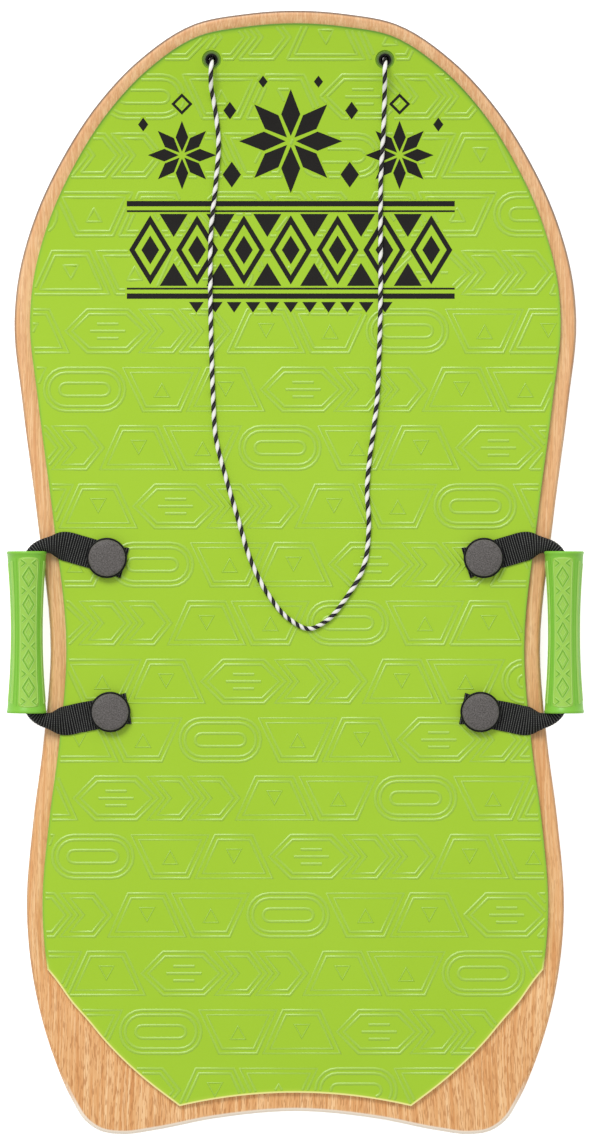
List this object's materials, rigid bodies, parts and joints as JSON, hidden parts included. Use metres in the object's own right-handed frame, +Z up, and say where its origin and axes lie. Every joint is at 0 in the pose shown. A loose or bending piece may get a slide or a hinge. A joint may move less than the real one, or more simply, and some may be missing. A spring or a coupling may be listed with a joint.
{
  "type": "snow slide board",
  "caption": "Flat foam snow sled with a lifted nose, slick bottom, wood-grain rim, grippy deck pad, two side handles and a tow rope.",
  "frame": {"origin": "middle of the board on the ground it stands on", "axes": "+Y towards the nose, +X to the rider's right, +Z up from the slick bottom"},
  "size_m": [0.6268, 1.219, 0.0783],
  "materials": {
    "slick_sheet": "smooth low-friction plastic sheet",
    "foam": "closed-cell foam",
    "wood_grain_film": "satin film printed with beech grain along the length",
    "deck_foam": "lime closed-cell foam sheet, embossed and printed in black",
    "button_grey": "fine textured moulded plastic",
    "black_plastic": "satin moulded plastic",
    "bolt_steel": "zinc-plated steel",
    "webbing": "ribbed polypropylene webbing",
    "grip_rubber": "satin moulded rubber",
    "rope": "three-strand white and black twisted cord"
  },
  "bodies": {
    "board": {"slick_bottom": "slick_sheet", "foam_core": "foam", "wood_skin": "wood_grain_film", "deck_pad": "deck_foam", "button_cap_front_left": "button_grey", "button_cap_front_right": "button_grey", "button_cap_rear_left": "button_grey", "button_cap_rear_right": "button_grey", "button_cup_front_left": "black_plastic", "button_cup_front_right": "black_plastic", "button_cup_rear_left": "black_plastic", "button_cup_rear_right": "black_plastic", "anchor_bolt_front_left": "bolt_steel", "anchor_bolt_front_right": "bolt_steel", "anchor_bolt_rear_left": "bolt_steel", "anchor_bolt_rear_right": "bolt_steel", "flange_nut_front_left": "black_plastic", "flange_nut_front_right": "black_plastic", "flange_nut_rear_left": "black_plastic", "flange_nut_rear_right": "black_plastic", "strap_end_front_left": "webbing", "strap_end_front_right": "webbing", "strap_end_rear_left": "webbing", "strap_end_rear_right": "webbing", "eyelet_left": "black_plastic", "eyelet_right": "black_plastic", "eyelet_washer_left": "bolt_steel", "eyelet_washer_right": "bolt_steel", "rope_end_left": "rope", "rope_end_right": "rope"},
    "left_handle": {"left_strap": "webbing"},
    "right_handle": {"right_strap": "webbing"},
    "left_grip_body": {"left_grip": "grip_rubber"},
    "right_grip_body": {"right_grip": "grip_rubber"},
    "rope_loop": {"tow_rope": "rope"}
  },
  "joints": [
    {"name": "left_handle_swing", "type": "hinge", "parent": "board", "child": "left_handle", "pos_m": [-0.23686, -0.0636, 0.0397], "axis": [0, 1, 0], "range_deg": [0, 125]},
    {"name": "right_handle_swing", "type": "hinge", "parent": "board", "child": "right_handle", "pos_m": [0.23686, -0.0636, 0.0397], "axis": [0, -1, 0], "range_deg": [0, 125]},
    {"name": "left_grip_turn", "type": "hinge", "parent": "left_handle", "child": "left_grip_body", "pos_m": [-0.29166, -0.0636, 0.04459], "axis": [0, 1, 0], "continuous": true},
    {"name": "right_grip_turn", "type": "hinge", "parent": "right_handle", "child": "right_grip_body", "pos_m": [0.29166, -0.0636, 0.04459], "axis": [0, 1, 0], "continuous": true},
    {"name": "tow_rope_swing", "type": "hinge", "parent": "board", "child": "rope_loop", "pos_m": [0.0031, 0.5556, 0.0733], "axis": [-1, 0, 0], "range_deg": [0, 150]}
  ]
}
